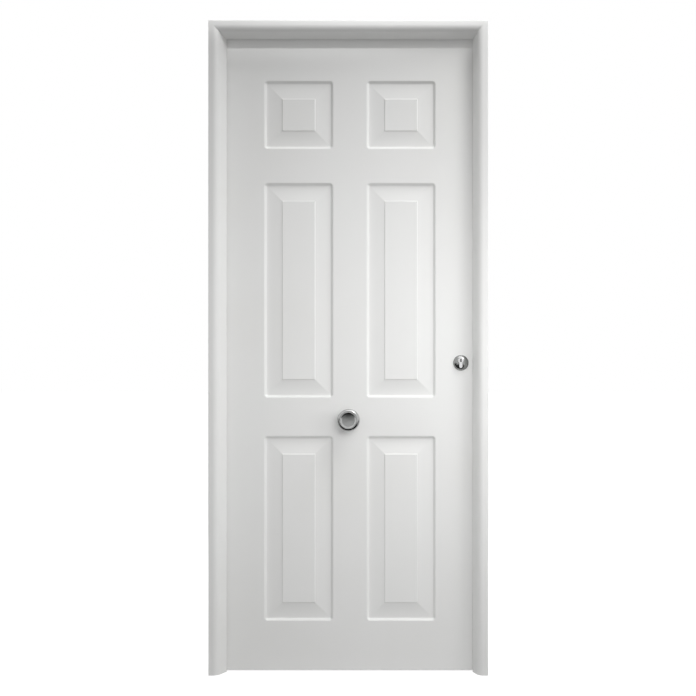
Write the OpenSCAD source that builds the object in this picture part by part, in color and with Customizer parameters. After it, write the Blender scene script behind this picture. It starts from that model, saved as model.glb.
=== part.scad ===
// Panelled entrance door in its folded steel frame, hung to open into the house.
// Origin at floor level, in the middle of the whole width and the whole depth.
// X points to the lock side, Y into the house and Z up. All sizes are in millimetres.
// The modules count Y from the frame's front face, and placed() moves each piece to the origin.

/* [Frame] */
// Overall width of the frame
frame_w = 890; // [840:5:1100]
// Overall height of the frame
frame_h = 2085; // [2000:5:2400]
// Sheet thickness of the frame
frame_sheet = 1.5; // [1:0.1:1.8]
// Flat strip along the outer edge of the frame's face
face_flat = 14; // [10:1:20]
// Whole width of the frame's face, seen square from the front
face_w = 49; // [46:1:60]
// Radius of the rounded nose
nose_r = 21.5; // [12:0.5:26]
// Depth of the reveal, from the face to the stop's edge
reveal_d = 55; // [40:1:80]
// Width of the stop's folded edge
stop_edge = 2; // [1.9:0.1:4]
// Depth of the return lips against the wall
lip_d = 18; // [10:1:25]
// Seam between the jambs and the head
seam = 0.4; // [0.2:0.1:0.8]
// Radius of the wall fixing holes in the rear lips
fixing_r = 4.5; // [3:0.5:6]
// Height of the lower wall fixings over the floor
fixing_rise = 420; // [350:5:600]
// Distance from the frame's top down to the upper wall fixings
fixing_drop = 425; // [350:5:600]

/* [Leaf] */
// Overlap of the leaf behind the stop
overlap = 16.5; // [13:0.5:18]
// Gap between the leaf's edge and the frame's rebate
rebate_gap = 4; // [3.5:0.5:6]
// Gap between the stop and the leaf's face, filled by the seal
seal_gap = 3; // [2.5:0.5:5]
// Gap under the leaf
floor_gap = 5; // [3:1:12]
// Thickness of the leaf
leaf_t = 45; // [40:1:60]
// How far the leaf's back lies inside the frame's back
back_set = 2; // [0.5:0.5:5]
// Sheet thickness of the skins
skin_sheet = 1; // [0.6:0.1:1.3]
// Depth of the inner skin's folded flange
inner_flange = 8; // [5:1:9]
// Width of the edge bars inside the leaf
bar_w = 100; // [97:1:120]

/* [Panels] */
// Plain face between the leaf's edge and the panels
stile_face = 135.5; // [126:0.5:150]
// Plain face between the two columns of panels
mullion_w = 106; // [80:1:130]
// Plain face under the bottom panels
bottom_rail_face = 158; // [130:1:200]
// Plain face between the bottom and the middle panels
lock_rail_face = 122; // [100:1:140]
// Plain face between the middle and the top panels
upper_rail_face = 108; // [90:1:130]
// Plain face over the top panels
top_rail_face = 148; // [130:1:170]
// Height of the bottom panels
bottom_panel_h = 597; // [500:1:650]
// Height of the top panels
top_panel_h = 221; // [180:1:300]
// Width of the rounded shoulder round a panel
shoulder_w = 10; // [7:0.5:14]
// Rounding of the recess's corners, seen from the front
corner_r = 12; // [4:0.5:16]
// Width of the flat groove inside the shoulder
groove_floor = 4; // [2:0.5:6]
// Depth of the groove
groove_d = 7; // [4:0.5:9]
// Width of the hollow slope that rises to the field
cove_w = 44.5; // [30:0.5:50]
// Height that the hollow slope rises
cove_rise = 4.8; // [2:0.2:6.5]
// Width of the small step at the field's edge
field_step = 1.5; // [0.8:0.1:3]

/* [Hinges] */
// Diameter of the hinge barrel
barrel_d = 18; // [16:1:22]
// Height of each knuckle
knuckle_h = 49; // [40:1:60]
// Diameter of the hinge pin
hinge_pin_d = 10; // [8:0.5:12]
// Thickness of the hinge plate over the frame's back
hinge_plate_t = 4; // [3:0.5:6]
// Reach of the hinge plate over the leaf
hinge_reach = 42; // [32:1:60]
// Height of the lowest hinge over the leaf's bottom
hinge_rise = 245; // [170:5:320]
// Distance from the leaf's top down to the highest hinge
hinge_drop = 252.5; // [170:2.5:320]
// Thickness of the thrust washer
washer_t = 2; // [1:0.5:3]
// Height of the pin's head
pin_head_h = 5; // [3:0.5:8]
// Thickness of the plate behind the frame's flange
backer_t = 5; // [3:0.5:6]

/* [Lock] */
// Distance from the leaf's edge to the key cylinder
backset = 54.5; // [50:0.5:58]
// Height of the key plug's axis
key_z = 1003; // [960:1:1100]
// Distance from the key plug up to the inside knob
pitch = 85; // [70:1:92]
// Thickness of the lock case
case_t = 20; // [18:0.5:24]
// Wall of the lock case
case_wall = 1.5; // [1:0.1:1.8]
// Depth of the lock case behind the faceplate
case_d = 88; // [78:1:90]
// Reach of the lock case below the key plug
case_below = 78; // [74:1:90]
// Reach of the lock case above the inside knob's axis
case_above = 37; // [30:1:50]
// Thickness of the faceplate
faceplate_t = 3; // [2:0.5:4]
// Width of the faceplate
faceplate_w = 24; // [22:1:26]
// Length of the faceplate past the case, at each end
faceplate_end = 20; // [15:1:30]
// Radius of the deadbolts
bolt_r = 7; // [5:0.5:8]
// Distance between neighbouring deadbolts
bolt_pitch = 20; // [18:1:22]
// Throw of the deadbolts
bolt_throw = 18; // [12:1:18]
// Thickness of the bar that carries the deadbolts
carriage_t = 6; // [4:0.5:7]
// Height of the latch
latch_h = 22; // [18:1:26]
// Thickness of the latch
latch_t = 14; // [10:0.5:15]
// Throw of the latch
latch_throw = 12; // [8:1:14]
// Radius of the follower
follower_r = 10; // [9.5:0.5:12]
// Side of the square spindle
spindle_w = 8; // [7:0.5:9]
// Thickness of the strike plate
strike_t = 1.5; // [1.2:0.1:2]
// Width of the strike plate
strike_w = 26; // [24:1:30]
// Depth of the box behind the strike
keep_d = 22; // [20:1:24]

/* [Key cylinder] */
// Radius of the cylinder's round part
cyl_r = 8.5; // [8:0.1:9]
// Width of the cylinder's stem
cyl_stem_w = 10; // [9:0.1:11]
// Reach of the stem below the key plug's axis
cyl_stem = 24.5; // [23:0.1:26]
// Radius of the key plug
plug_r = 5; // [4.5:0.1:6]
// Width of the cam
cam_w = 9; // [8:0.5:10]
// Reach of the cam's finger
cam_reach = 15; // [13:0.5:15.5]
// Radius of the domed escutcheon
escutcheon_r = 25; // [24:0.5:28]
// Height of the domed escutcheon
escutcheon_h = 14; // [10:0.5:18]
// Radius of the inside rose
rose_r = 26; // [25:0.5:30]
// Height of the inside roses
rose_h = 8; // [5:0.5:10]
// Half the distance between the escutcheon's two bolts
escutcheon_bolt_x = 19; // [18:0.5:20]
// Width of the thumb turn
thumb_w = 28; // [22:1:32]

/* [Pull knob] */
// Height of the pull knob's axis
pull_z = 812; // [795:1:850]
// Radius of the knob's head
pull_r = 35.5; // [30:0.5:40]
// Thickness of the knob's head
pull_head_t = 26; // [22:1:32]
// Radius of the head's rounded edge
pull_edge_r = 9; // [6:0.5:10]
// Radius of the dished disc in the head's front
pull_dish_r = 24.5; // [18:0.5:26]
// Depth of the dish
pull_dish_d = 4; // [2:0.5:5]
// Radius of the knob's neck
pull_neck_r = 13; // [10:0.5:16]
// Length of the neck between rose and head
pull_neck_l = 26; // [15:1:30]
// Radius of the knob's rose
pull_rose_r = 29; // [22:0.5:34]
// Radius of the stud through the leaf
stud_r = 5; // [4:0.5:6]
// Radius of the cap on the inside
cap_r = 17; // [12:0.5:22]
// Height of the cap on the inside
cap_h = 11; // [9:0.5:15]

/* [Inside knob] */
// Radius of the turning knob's head
turn_r = 26; // [22:0.5:30]
// Thickness of the turning knob's head
turn_head_t = 24; // [18:1:30]
// Radius of the turning knob's neck
turn_neck_r = 11; // [9:0.5:13]
// Length of the turning knob's neck in front of its rose
turn_neck_l = 16; // [10:1:24]

/* [Clearances] */
// Radial clearance of turning pins and shafts
running = 0.05; // [0.03:0.01:0.1]
// Clearance of sliding pieces and of end faces that turn
sliding = 0.3; // [0.2:0.05:0.5]
// Clearance of screws and bolts in their holes
screw_fit = 0.15; // [0.1:0.05:0.4]
// Clearance round the lock case and the cylinder in the leaf
pocket_fit = 0.5; // [0.3:0.1:1]

/* [Hidden] */
$fn = 64;

PAINT = [0.91, 0.91, 0.9];
CHROME = [0.75, 0.76, 0.77];
STEEL = [0.6, 0.61, 0.63];
WOOD = [0.78, 0.65, 0.46];
RUBBER = [0.14, 0.14, 0.15];
INFILL = [0.85, 0.8, 0.66];

// Reach of a cutting solid past the faces it cuts
CUT = 1;

// Places in the frame's section: u runs from the outer edge to the opening, v from front to back
stop_back = reveal_d + stop_edge;
rebate_u = face_w - overlap - rebate_gap;
leaf_y = stop_back + seal_gap;
leaf_back = leaf_y + leaf_t;
frame_d = leaf_back + back_set;
nose_c = [face_flat, nose_r];
reveal_v = [face_w, reveal_d] - nose_c;
// The reveal's flat leaves the nose a hair inside its circle, so that the two cross cleanly
nose_seat = 0.1;
nose_turn = atan2(reveal_v[1], reveal_v[0]) + asin((nose_r - nose_seat) / norm(reveal_v));
nose_end = nose_turn + 15;

// Leaf
leaf_w = frame_w - 2 * face_w + 2 * overlap;
leaf_top = frame_h - face_w + overlap;
leaf_h = leaf_top - floor_gap;
leaf_edge = leaf_w / 2;
mid_y = leaf_y + leaf_t / 2;
bar_x = leaf_edge - 2 * skin_sheet;
bar_z0 = floor_gap + 2 * skin_sheet;
bar_z1 = leaf_top - 2 * skin_sheet;
bar_y0 = leaf_y + skin_sheet;
bar_y1 = leaf_back - skin_sheet;

// Panels
panel_w = (leaf_w - 2 * stile_face - mullion_w) / 2;
panel_x = (panel_w + mullion_w) / 2;
bottom_z = floor_gap + bottom_rail_face;
middle_z = bottom_z + bottom_panel_h + lock_rail_face;
top_z = leaf_top - top_rail_face - top_panel_h;
middle_panel_h = top_z - upper_rail_face - middle_z;
panel_rows = [[bottom_z, bottom_panel_h], [middle_z, middle_panel_h], [top_z, top_panel_h]];
panels = [for (side = [-1, 1]) for (row = panel_rows) [side * panel_x, row[0] + row[1] / 2, row[1]]];
corner_cut = corner_r * (sqrt(2) - 1);
margin = shoulder_w + groove_floor + cove_w + field_step;
SHOULDER_STEPS = 6;
COVE_STEPS = 5;
COVE_POWER = 1.6;

// Hinges
rebate_x = frame_w / 2 - rebate_u;
hinge_x = -leaf_edge - rebate_gap / 2;
hinge_y = frame_d + barrel_d / 2 + sliding;
hinge_low = floor_gap + hinge_rise;
hinge_high = leaf_top - hinge_drop;
hinge_zs = [hinge_low, (hinge_low + hinge_high) / 2, hinge_high];
lip_clear = 0.5;
plate_x0 = -frame_w / 2 + frame_sheet + lip_clear;
hinge_face = frame_d + hinge_plate_t;
hinge_screw_d = 5;
hinge_screw_head = 9;
hinge_screw_head_h = 3;
frame_screw_x = (plate_x0 + hinge_x - barrel_d / 2) / 2;
leaf_screw_x = hinge_x + hinge_reach * 0.62;
screw_tip = 1;
frame_screw_l = hinge_plate_t + frame_sheet + backer_t + screw_tip;
leaf_screw_bite = 30;
leaf_screw_l = hinge_plate_t + back_set + leaf_screw_bite;

// Lock
lock_x = leaf_edge - backset;
turn_z = key_z + pitch;
face_x = leaf_edge - faceplate_t;
case_x = face_x - case_d;
case_z0 = key_z - case_below;
case_z1 = turn_z + case_above;
face_z0 = case_z0 - faceplate_end;
face_z1 = case_z1 + faceplate_end;
cyl_screw_r = 2.5;
cyl_screw_z = key_z - (cam_reach + sliding + cyl_stem) / 2;
bolt_zs = [for (k = [-2, -1, 1, 2]) cyl_screw_z + k * bolt_pitch];
bolt_sunk = 0.7;
bolt_x1 = leaf_edge - bolt_sunk;
carriage_x = face_x - bolt_throw - sliding - carriage_t;
carriage_end = 3;
carriage_y = case_t - 2 * case_wall - 2 * sliding;
latch_flat = 3;
latch_x0 = lock_x + follower_r + 2 * sliding + latch_throw / 6;
hub_step = 1;
hub_r = follower_r - hub_step;
small_screw_d = 4;
small_screw_head = 7.5;
small_screw_head_h = 2;
face_screw_in = 9;
face_screw_l = 26;
strike_screw_l = 14;
strike_x = rebate_x - strike_t;
strike_room = 1.5;
window_room = 1;
strike_bolt_r = bolt_r + strike_room;
keep_inset = 8;

// Key cylinder
rose_z = key_z - (cyl_stem - cyl_r) / 2;
cyl_sunk = 1.5;
cyl_proud = 2;
cyl_y0 = leaf_y - escutcheon_h + cyl_sunk;
cyl_y1 = leaf_back + rose_h + cyl_proud;
dome_rim = 1.5;
dome_r = escutcheon_r - dome_rim;
dome_base = 3;
dome_h = escutcheon_h - dome_base;
dome_sphere = (dome_r * dome_r + dome_h * dome_h) / (2 * dome_h);
dome_flat = 1.2;
esc_bolt_r = 2.5;
esc_bolt_head_r = 4;
esc_bolt_head_h = 3;
esc_bolt_grip = 4;
keyway = [1.8, 7, 22];
keyway_drop = 0.5;
thumb_t = 8;
thumb_h = 20;
thumb_boss_r = 9;
thumb_boss_h = 5;

// Pull knob and inside knob
pull_rose_h = 6;
pull_groove_r = 0.8;
pull_face_y = leaf_y - pull_rose_h - pull_neck_l - pull_head_t;
pull_sphere = (pull_dish_r * pull_dish_r + pull_dish_d * pull_dish_d) / (2 * pull_dish_d);
stud_y0 = leaf_y - pull_rose_h - pull_neck_l - pull_head_t / 3;
cap_end = 4;
stud_y1 = leaf_back + cap_h - cap_end;
turn_edge_r = 8;
turn_dish_r = 16;
turn_dish_d = 2.5;
turn_sphere = (turn_dish_r * turn_dish_r + turn_dish_d * turn_dish_d) / (2 * turn_dish_d);
turn_y0 = leaf_back + rose_h + turn_neck_l;
spindle_y0 = mid_y - case_t / 2 + case_wall;
spindle_y1 = turn_y0 + turn_head_t / 3;

// Whole depth, from the frame's face or the pull knob to the inside knob
depth_mid = (min(0, pull_face_y) + turn_y0 + turn_head_t) / 2;

// Seal
seal_w = 9;
seal_base = 1;
seal_h = seal_gap - sliding;
seal_u = face_w - overlap / 2;

// A point of a bent line, moved to the line's left by t and mitred at the bend
function left_normal(a, b) = let (d = (b - a) / norm(b - a)) [-d[1], d[0]];
function mitre(p, i, t) =
    let (last = len(p) - 1)
    let (n0 = left_normal(p[max(i - 1, 0)], p[max(i, 1)]))
    let (n1 = left_normal(p[min(i, last - 1)], p[min(i + 1, last)]))
    p[i] + (n0 + n1) * (2 * t / ((n0 + n1) * (n0 + n1)));

// Frame section
function nose_pt(a, r) = nose_c + r * [sin(a), -cos(a)];
front_line = [[0, frame_d], [0, 0], [face_flat, 0]];
rear_line = [
    nose_pt(nose_turn, nose_r - nose_seat), [face_w, reveal_d], [face_w, stop_back],
    [rebate_u, stop_back], [rebate_u, frame_d], [0, frame_d], [0, 0]
];

module nose_wedge() {
    polygon([
        nose_c,
        nose_pt(0, 2 * nose_r),
        nose_pt(nose_end / 2, 2 * nose_r),
        nose_pt(nose_end, 2 * nose_r)
    ]);
}

// The frame's outline filled in, drawn in by t all round
module frame_fill(t) {
    polygon(concat(
        [mitre(front_line, 1, t), mitre(front_line, 2, t)],
        [for (i = [0:5]) mitre(rear_line, i, t)]
    ));
    intersection() {
        nose_wedge();
        translate(nose_c) circle(r = nose_r - t);
    }
}

// Sheet folded along the outline, open at the wall between the two lips
module frame_section() {
    difference() {
        frame_fill(0);
        frame_fill(frame_sheet);
        translate([-frame_sheet, lip_d]) square([3 * frame_sheet, frame_d - 2 * lip_d]);
    }
}

// Lays a frame section along the head, from the left end to the right
module along_head(len) {
    translate([-len / 2, 0, frame_h]) rotate([0, 90, 0]) linear_extrude(len) children();
}

// Cylinders and extrusions along the X and Y axes
module rod_x(x0, x1, y, z, r) {
    translate([x0, y, z]) rotate([0, 90, 0]) cylinder(r = r, h = x1 - x0);
}

module rod_y(x, z, y0, y1, r) {
    translate([x, y0, z]) rotate([-90, 0, 0]) cylinder(r = r, h = y1 - y0);
}

module along_y(y0, y1) {
    translate([0, y1, 0]) rotate([90, 0, 0]) linear_extrude(y1 - y0) children();
}

module box(x, y, z) {
    translate([x[0], y[0], z[0]]) cube([x[1] - x[0], y[1] - y[0], z[1] - z[0]]);
}

// Turned pieces on an axis along Y: outside ones grow towards -Y, inside ones towards +Y
module turned_out(x, z, y) {
    translate([x, y, z]) rotate([90, 0, 0]) rotate_extrude() children();
}

module turned_in(x, z, y) {
    translate([x, y, z]) rotate([-90, 0, 0]) rotate_extrude() children();
}

// Countersunk screw: its head is flush at the origin and its point looks down
module screw(d, l, head_d, head_h, grow = 0) {
    top = grow > 0 ? [[0, CUT], [head_d / 2 + grow, CUT]] : [[0, 0]];
    rotate_extrude() polygon(concat(top, [
        [head_d / 2 + grow, 0], [d / 2 + grow, -head_h], [d / 2 + grow, -l - grow], [0, -l - grow]
    ]));
}

// Frame
module jamb() {
    difference() {
        translate([-frame_w / 2, 0, 0]) linear_extrude(frame_h - CUT) frame_section();
        translate([0, 0, -seam]) along_head(frame_w + 2 * CUT) frame_fill(0);
        for (z = [fixing_rise, frame_h - fixing_drop])
            rod_x(-frame_w / 2 - CUT, -frame_w / 2 + frame_sheet + CUT, frame_d - lip_d / 2, z, fixing_r);
    }
}

module hinge_jamb() {
    color(PAINT) difference() {
        jamb();
        frame_screws(screw_fit);
    }
}

module lock_jamb() {
    color(PAINT) difference() {
        mirror([1, 0, 0]) jamb();
        box([rebate_x - CUT, rebate_x + frame_sheet + CUT], bolt_window_y, bolt_window_z);
        box([rebate_x - CUT, rebate_x + frame_sheet + CUT], latch_window_y, latch_window_z);
        strike_fasteners(screw_fit);
    }
}

module header() {
    color(PAINT) along_head(frame_w) frame_section();
}

module seal_section() {
    translate([seal_u - seal_w / 2, stop_back]) square([seal_w, seal_base]);
    translate([seal_u, stop_back + seal_h / 2]) circle(d = seal_h);
}

module frame_gasket() {
    leg_top = frame_h - seal_u - seal_w / 2;
    color(RUBBER) union() {
        for (side = [0, 1])
            mirror([side, 0, 0])
                translate([-frame_w / 2, 0, floor_gap]) linear_extrude(leg_top - floor_gap) seal_section();
        along_head(frame_w - 2 * seal_u + seal_w) seal_section();
    }
}

// Keep of the lock
function around(c, half) = [c - half, c + half];
bolt_window_y = around(mid_y, strike_bolt_r + window_room);
bolt_window_z = [bolt_zs[0] - strike_bolt_r - window_room, bolt_zs[3] + strike_bolt_r + window_room];
latch_window_y = around(mid_y, latch_t / 2 + strike_room + window_room);
latch_window_z = around(turn_z, latch_h / 2 + strike_room + window_room);

module strike_fasteners(grow = 0) {
    for (z = [face_z0 + face_screw_in, face_z1 - face_screw_in])
        translate([strike_x, mid_y, z]) rotate([0, -90, 0])
            screw(small_screw_d, strike_screw_l, small_screw_head, small_screw_head_h, grow);
}

module strike_plate() {
    color(STEEL) difference() {
        box([strike_x, rebate_x], [mid_y - strike_w / 2, mid_y + strike_w / 2], [face_z0, face_z1]);
        for (z = bolt_zs)
            rod_x(strike_x - CUT, rebate_x + CUT, mid_y, z, strike_bolt_r);
        box([strike_x - CUT, rebate_x + CUT],
            around(mid_y, latch_t / 2 + strike_room), around(turn_z, latch_h / 2 + strike_room));
        strike_fasteners(screw_fit);
    }
}

module strike_screws() {
    color(STEEL) strike_fasteners();
}

module bolt_box() {
    x0 = rebate_x + frame_sheet;
    y = [mid_y - strike_w / 2 - case_wall, mid_y + strike_w / 2 + case_wall];
    z = [case_z0 - keep_inset, case_z1 + keep_inset];
    color(STEEL) difference() {
        box([x0, x0 + keep_d], y, z);
        box([x0 - CUT, x0 + keep_d - case_wall],
            [y[0] + case_wall, y[1] - case_wall],
            [z[0] + case_wall, z[1] - case_wall]);
    }
}

// Hinges
function knuckle_low(z) = z - washer_t / 2 - knuckle_h;
function knuckle_up(z) = z + washer_t / 2 + sliding / 2;
function screw_rows(z0) = [z0 + knuckle_h * 0.25, z0 + knuckle_h * 0.75];

module hinge_screw(l, grow) {
    screw(hinge_screw_d, l, hinge_screw_head, hinge_screw_head_h, grow);
}

module frame_screws(grow = 0) {
    for (h = hinge_zs)
        for (z = screw_rows(knuckle_low(h)))
            translate([frame_screw_x, hinge_face, z]) rotate([-90, 0, 0]) hinge_screw(frame_screw_l, grow);
}

module leaf_screws(grow = 0) {
    for (h = hinge_zs)
        for (z = screw_rows(knuckle_up(h)))
            translate([leaf_screw_x, hinge_face, z]) rotate([-90, 0, 0]) hinge_screw(leaf_screw_l, grow);
}

module hinge_bore(z) {
    translate([hinge_x, hinge_y, z - CUT]) cylinder(d = hinge_pin_d + 2 * running, h = knuckle_h + 2 * CUT);
}

module hinge_frame_half(z) {
    z0 = knuckle_low(z);
    color(CHROME) difference() {
        union() {
            translate([hinge_x, hinge_y, z0]) cylinder(d = barrel_d, h = knuckle_h);
            box([plate_x0, hinge_x], [frame_d, hinge_face], [z0, z0 + knuckle_h]);
        }
        hinge_bore(z0);
        frame_screws(screw_fit);
    }
}

module hinge_leaf_half(z) {
    z0 = knuckle_up(z);
    color(CHROME) difference() {
        union() {
            translate([hinge_x, hinge_y, z0]) cylinder(d = barrel_d, h = knuckle_h);
            box([hinge_x, hinge_x + hinge_reach], [leaf_back, hinge_face], [z0, z0 + knuckle_h]);
        }
        hinge_bore(z0);
        leaf_screws(screw_fit);
    }
}

module hinge_pin(z) {
    top = knuckle_up(z) + knuckle_h + sliding;
    color(CHROME) translate([hinge_x, hinge_y, 0]) union() {
        translate([0, 0, knuckle_low(z)]) cylinder(d = hinge_pin_d, h = top - knuckle_low(z));
        translate([0, 0, top]) rotate_extrude() intersection() {
            square([barrel_d / 2, pin_head_h]);
            union() {
                square([barrel_d / 2 - pin_head_h / 2, pin_head_h]);
                square([barrel_d / 2, pin_head_h / 2]);
                translate([barrel_d / 2 - pin_head_h / 2, pin_head_h / 2]) circle(d = pin_head_h);
            }
        }
    }
}

module hinge_washers() {
    color(STEEL) for (z = hinge_zs)
        translate([hinge_x, hinge_y, z - washer_t / 2]) difference() {
            cylinder(d = barrel_d - 1, h = washer_t);
            translate([0, 0, -CUT]) cylinder(d = hinge_pin_d + 2 * running, h = washer_t + 2 * CUT);
        }
}

module hinge_backers() {
    y1 = frame_d - frame_sheet;
    color(STEEL) difference() {
        for (z = hinge_zs)
            box([plate_x0, -rebate_x - frame_sheet - lip_clear], [y1 - backer_t, y1],
                [knuckle_low(z), knuckle_low(z) + knuckle_h]);
        frame_screws(screw_fit);
    }
}

module frame_hinge_screws() {
    color(STEEL) frame_screws();
}

module leaf_hinge_screws() {
    color(STEEL) leaf_screws();
}

// Pressed skins: the lines run from a panel's edge inwards, with the height over the leaf's face
function shoulder_pt(s) = [shoulder_w * s, -groove_d * (1 - cos(180 * s)) / 2];
function cove_pt(s) = [shoulder_w + groove_floor + cove_w * s, cove_rise * pow(s, COVE_POWER) - groove_d];
shoulder_line = [for (i = [0:SHOULDER_STEPS]) shoulder_pt(i / SHOULDER_STEPS)];
cove_line = concat([for (i = [0:COVE_STEPS]) cove_pt(i / COVE_STEPS)], [[margin, 0]]);

// A line along one edge of a width w, closed through its mirror image at the other edge
function both_edges(line, w) = concat(
    [for (p = line) [p[0] - w / 2, p[1]]],
    [for (i = [len(line) - 1:-1:0]) [w / 2 - line[i][0], line[i][1]]]
);
function recess_line(w) = both_edges(concat([[0, CUT]], shoulder_line), w);
function raised_line(w) = both_edges(concat([cove_line[0] - [0, CUT]], cove_line), w);

// A profile across the direction a, drawn out square to it
module run(a, line, l) {
    rotate([90, 0, a]) linear_extrude(l, center = true) polygon(line);
}

// The recess of a panel of w by h: crossing runs, with eased corners
module recess(w, h) {
    diagonal = (w + h) / sqrt(2) - 2 * corner_cut;
    intersection() {
        run(0, recess_line(w), h + 2 * CUT);
        run(90, recess_line(h), w + 2 * CUT);
        run(45, recess_line(diagonal), w + h);
        run(-45, recess_line(diagonal), w + h);
    }
}

// The raised field of a panel: its crossing runs meet in mitres
module raised(w, h) {
    intersection() {
        run(0, raised_line(w), h);
        run(90, raised_line(h), w);
    }
}

// The leaf's pressed face as the top of a block, lying with its face up at Z = -sink
module pressed_block(inset, sink, depth) {
    translate([0, 0, -sink]) union() {
        difference() {
            translate([inset - leaf_edge, floor_gap + inset, -depth])
                cube([leaf_w - 2 * inset, leaf_h - 2 * inset, depth]);
            for (p = panels)
                translate([p[0], p[1], 0]) recess(panel_w, p[2]);
        }
        for (p = panels)
            translate([p[0], p[1], 0]) raised(panel_w, p[2]);
    }
}

// A folded flange right round the leaf, set in from the leaf's edges
module flange(inset, y0, y1) {
    difference() {
        box([inset - leaf_edge, leaf_edge - inset], [y0, y1], [floor_gap + inset, leaf_top - inset]);
        box([inset + skin_sheet - leaf_edge, leaf_edge - inset - skin_sheet], [y0 - CUT, y1 + CUT],
            [floor_gap + inset + skin_sheet, leaf_top - inset - skin_sheet]);
    }
}

module outer_skin() {
    color(PAINT) difference() {
        translate([0, leaf_y, 0]) rotate([90, 0, 0]) difference() {
            pressed_block(0, 0, leaf_t - skin_sheet);
            pressed_block(skin_sheet, skin_sheet, leaf_t);
        }
        along_y(leaf_y - CUT, bar_y0 + CUT) euro_place() euro_profile(pocket_fit);
        escutcheon_shanks(screw_fit);
        rod_y(0, pull_z, leaf_y - CUT, bar_y0 + CUT, stud_r + screw_fit);
        faceplate_blank(sliding);
    }
}

module inner_skin() {
    color(PAINT) difference() {
        union() {
            translate([0, leaf_back, 0]) mirror([0, 1, 0]) rotate([90, 0, 0]) difference() {
                pressed_block(0, 0, 2 * groove_d);
                pressed_block(-CUT, skin_sheet, 3 * groove_d);
            }
            flange(skin_sheet, bar_y1 - inner_flange, bar_y1 + skin_sheet / 2);
        }
        along_y(bar_y1 - CUT, leaf_back + CUT) euro_place() euro_profile(pocket_fit);
        escutcheon_shanks(screw_fit);
        rod_y(0, pull_z, bar_y1 - CUT, leaf_back + CUT, stud_r + screw_fit);
        rod_y(lock_x, turn_z, bar_y1 - CUT, leaf_back + CUT, turn_neck_r + sliding);
        leaf_screws(screw_fit);
        faceplate_blank(sliding);
    }
}

// Infill and edge bars
module core() {
    x = bar_x - bar_w;
    color(INFILL) difference() {
        box([-x, x], [bar_y0, bar_y1], [bar_z0 + bar_w, bar_z1 - bar_w]);
        for (p = panels)
            for (y = [bar_y0 - CUT, bar_y1 - groove_d])
                translate([p[0], y, p[1]]) difference() {
                    translate([-panel_w / 2, 0, -p[2] / 2]) cube([panel_w, groove_d + CUT, p[2]]);
                    translate([margin - panel_w / 2, -CUT, margin - p[2] / 2])
                        cube([panel_w - 2 * margin, groove_d + 3 * CUT, p[2] - 2 * margin]);
                }
        rod_y(0, pull_z, bar_y0 - CUT, bar_y1 + CUT, stud_r + screw_fit);
    }
}

module hinge_stile() {
    color(WOOD) difference() {
        box([-bar_x, bar_w - bar_x], [bar_y0, bar_y1], [bar_z0, bar_z1]);
        leaf_screws(screw_fit);
    }
}

module lock_stile() {
    color(WOOD) difference() {
        box([bar_x - bar_w, bar_x], [bar_y0, bar_y1], [bar_z0, bar_z1]);
        box([case_x - pocket_fit, leaf_edge],
            [mid_y - case_t / 2 - pocket_fit, mid_y + case_t / 2 + pocket_fit],
            [case_z0 - pocket_fit, case_z1 + pocket_fit]);
        faceplate_blank(pocket_fit);
        along_y(bar_y0 - CUT, bar_y1 + CUT) euro_place() euro_profile(pocket_fit);
        escutcheon_shanks(screw_fit);
        rod_y(lock_x, turn_z, mid_y, bar_y1 + CUT, turn_neck_r + sliding);
        face_screws(screw_fit);
    }
}

module rail(z0) {
    x = bar_x - bar_w;
    color(WOOD) box([-x, x], [bar_y0, bar_y1], [z0, z0 + bar_w]);
}

module top_rail() {
    rail(bar_z1 - bar_w);
}

module bottom_rail() {
    rail(bar_z0);
}

// Lock
module faceplate_blank(grow) {
    box([face_x, leaf_edge + CUT],
        [mid_y - faceplate_w / 2 - grow, mid_y + faceplate_w / 2 + grow],
        [face_z0 - grow, face_z1 + grow]);
}

module face_screws(grow = 0) {
    for (z = [face_z0 + face_screw_in, face_z1 - face_screw_in])
        translate([leaf_edge, mid_y, z]) rotate([0, 90, 0])
            screw(small_screw_d, face_screw_l, small_screw_head, small_screw_head_h, grow);
}

module cylinder_fastener(grow = 0) {
    translate([leaf_edge, mid_y, cyl_screw_z]) rotate([0, 90, 0])
        screw(2 * cyl_screw_r, backset + cyl_stem_w / 4, 4 * cyl_screw_r, cyl_screw_r, grow);
}

module case_holes() {
    y = [mid_y - case_t / 2 - CUT, mid_y + case_t / 2 + CUT];
    along_y(y[0], y[1]) euro_place() euro_profile(sliding);
    rod_y(lock_x, turn_z, y[0], y[1], hub_r + running);
    escutcheon_shanks(screw_fit);
}

module lock_case() {
    y0 = mid_y - case_t / 2;
    color(STEEL) difference() {
        box([case_x, face_x], [y0 + case_wall, y0 + case_t], [case_z0, case_z1]);
        box([case_x + case_wall, face_x + CUT], [y0, y0 + case_t - case_wall],
            [case_z0 + case_wall, case_z1 - case_wall]);
        case_holes();
    }
}

module lock_cover() {
    y0 = mid_y - case_t / 2;
    color(STEEL) difference() {
        box([case_x, face_x], [y0, y0 + case_wall], [case_z0, case_z1]);
        case_holes();
    }
}

module lock_faceplate() {
    color(CHROME) difference() {
        box([face_x, leaf_edge], [mid_y - faceplate_w / 2, mid_y + faceplate_w / 2], [face_z0, face_z1]);
        for (z = bolt_zs)
            rod_x(face_x - CUT, leaf_edge + CUT, mid_y, z, bolt_r + sliding);
        box([face_x - CUT, leaf_edge + CUT],
            [mid_y - latch_t / 2 - sliding, mid_y + latch_t / 2 + sliding],
            [turn_z - latch_h / 2 - sliding, turn_z + latch_h / 2 + sliding]);
        face_screws(screw_fit);
        cylinder_fastener(screw_fit);
    }
}

module faceplate_screws() {
    color(STEEL) face_screws();
}

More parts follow.
